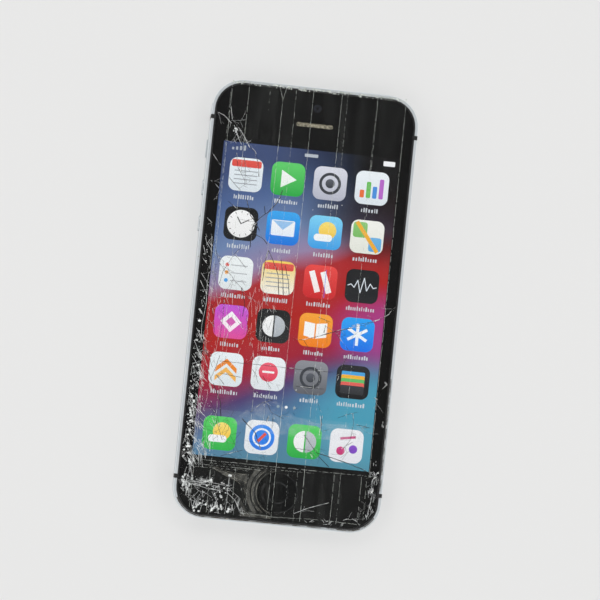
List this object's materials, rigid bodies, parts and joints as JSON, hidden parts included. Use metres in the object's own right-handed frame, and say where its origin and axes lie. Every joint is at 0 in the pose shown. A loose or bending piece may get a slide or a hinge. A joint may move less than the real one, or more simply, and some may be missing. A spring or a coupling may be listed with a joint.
{
  "type": "shattered screen phone",
  "caption": "Compact smartphone lying on its back, front glass shattered and held by clear tape, display lit, with working home button, side buttons, mute switch and SIM tray",
  "frame": {"origin": "centre of the flat rear face, on the surface that the phone lies on", "axes": "+Z out of the screen, +Y towards the earpiece, +X to the right-hand side seen from the front"},
  "size_m": [0.059, 0.1242, 0.008],
  "materials": {
    "anodised_aluminium": "satin anodised, chamfered edges bright",
    "black_glass": "polished, backed with black ink, shattered",
    "black_plastic": "fine moulded",
    "lit_display": "lit panel",
    "white_sheet": "diffuser film",
    "steel": "stamped",
    "black_rubber": "moulded",
    "dusty_mesh": "fine mesh clogged with dust",
    "flex_circuit": "polyimide film",
    "battery_wrap": "plain black wrap",
    "circuit_board": "solder mask",
    "lens_barrel": "coated lens in black barrel",
    "clear_glass": "polished",
    "tungsten": "sintered",
    "clear_film": "thin clear film, frayed at the ends"
  },
  "bodies": {
    "chassis": {"rear_shell": "anodised_aluminium", "top_antenna_band": "anodised_aluminium", "bottom_antenna_band": "anodised_aluminium", "antenna_break_left_upper": "black_plastic", "antenna_break_left_lower": "black_plastic", "antenna_break_right_upper": "black_plastic", "antenna_break_right_lower": "black_plastic", "rear_window_top": "black_glass", "rear_window_bottom": "black_glass", "display_frame": "black_plastic", "front_glass": "black_glass", "lcd_panel": "lit_display", "backlight_panel": "white_sheet", "display_shield_plate": "steel", "home_button_seal": "black_rubber", "home_button_switch": "steel", "home_button_bracket": "steel", "earpiece_mesh": "dusty_mesh", "earpiece_speaker": "black_plastic", "front_camera": "black_plastic", "proximity_sensor": "black_plastic", "front_sensor_flex": "flex_circuit", "battery": "battery_wrap", "battery_connector": "black_plastic", "logic_board": "circuit_board", "board_screw_upper": "steel", "board_screw_lower": "steel", "board_shield_upper": "steel", "board_shield_lower": "steel", "sim_reader": "steel", "rear_camera_housing": "steel", "camera_ring": "anodised_aluminium", "camera_window": "clear_glass", "flash_lens": "clear_glass", "power_switch": "steel", "button_flex": "flex_circuit", "headphone_jack": "black_plastic", "charging_port": "steel", "dock_flex": "flex_circuit", "loudspeaker": "black_plastic", "speaker_mesh": "dusty_mesh", "vibration_motor": "steel", "bottom_microphone": "steel", "display_flex": "flex_circuit", "case_screw_left": "steel", "case_screw_right": "steel", "clear_tape_left": "clear_film", "clear_tape_inner_left": "clear_film", "clear_tape_middle": "clear_film", "clear_tape_right": "clear_film", "clear_tape_across_foot": "clear_film"},
    "home_button": {"home_button": "black_glass"},
    "power_button": {"power_button": "anodised_aluminium"},
    "volume_up_button": {"volume_up_button": "anodised_aluminium"},
    "volume_down_button": {"volume_down_button": "anodised_aluminium"},
    "mute_switch": {"mute_switch": "anodised_aluminium"},
    "sim_tray": {"sim_tray": "anodised_aluminium"},
    "focus_lens": {"camera_focus_lens": "lens_barrel"},
    "vibration_weight": {"vibration_weight": "tungsten"}
  },
  "joints": [
    {"name": "home_press", "type": "slide", "parent": "chassis", "child": "home_button", "axis": [0, 0, -1], "range_m": [0, 0.00025], "stiffness_N_per_m": 800},
    {"name": "power_press", "type": "slide", "parent": "chassis", "child": "power_button", "axis": [0, -1, 0], "range_m": [0, 0.0003], "stiffness_N_per_m": 800},
    {"name": "volume_up_press", "type": "slide", "parent": "chassis", "child": "volume_up_button", "axis": [1, 0, 0], "range_m": [0, 0.0003], "stiffness_N_per_m": 800},
    {"name": "volume_down_press", "type": "slide", "parent": "chassis", "child": "volume_down_button", "axis": [1, 0, 0], "range_m": [0, 0.0003], "stiffness_N_per_m": 800},
    {"name": "mute_slide", "type": "slide", "parent": "chassis", "child": "mute_switch", "axis": [0, 0, -1], "range_m": [0, 0.0012]},
    {"name": "sim_tray_slide", "type": "slide", "parent": "chassis", "child": "sim_tray", "axis": [1, 0, 0], "range_m": [0, 0.0095]},
    {"name": "lens_focus", "type": "slide", "parent": "chassis", "child": "focus_lens", "axis": [0, 0, -1], "range_m": [0, 0.00025], "stiffness_N_per_m": 100},
    {"name": "weight_spin", "type": "hinge", "parent": "chassis", "child": "vibration_weight", "pos_m": [0.0212, -0.038, 0.0031], "axis": [1, 0, 0], "continuous": true}
  ]
}
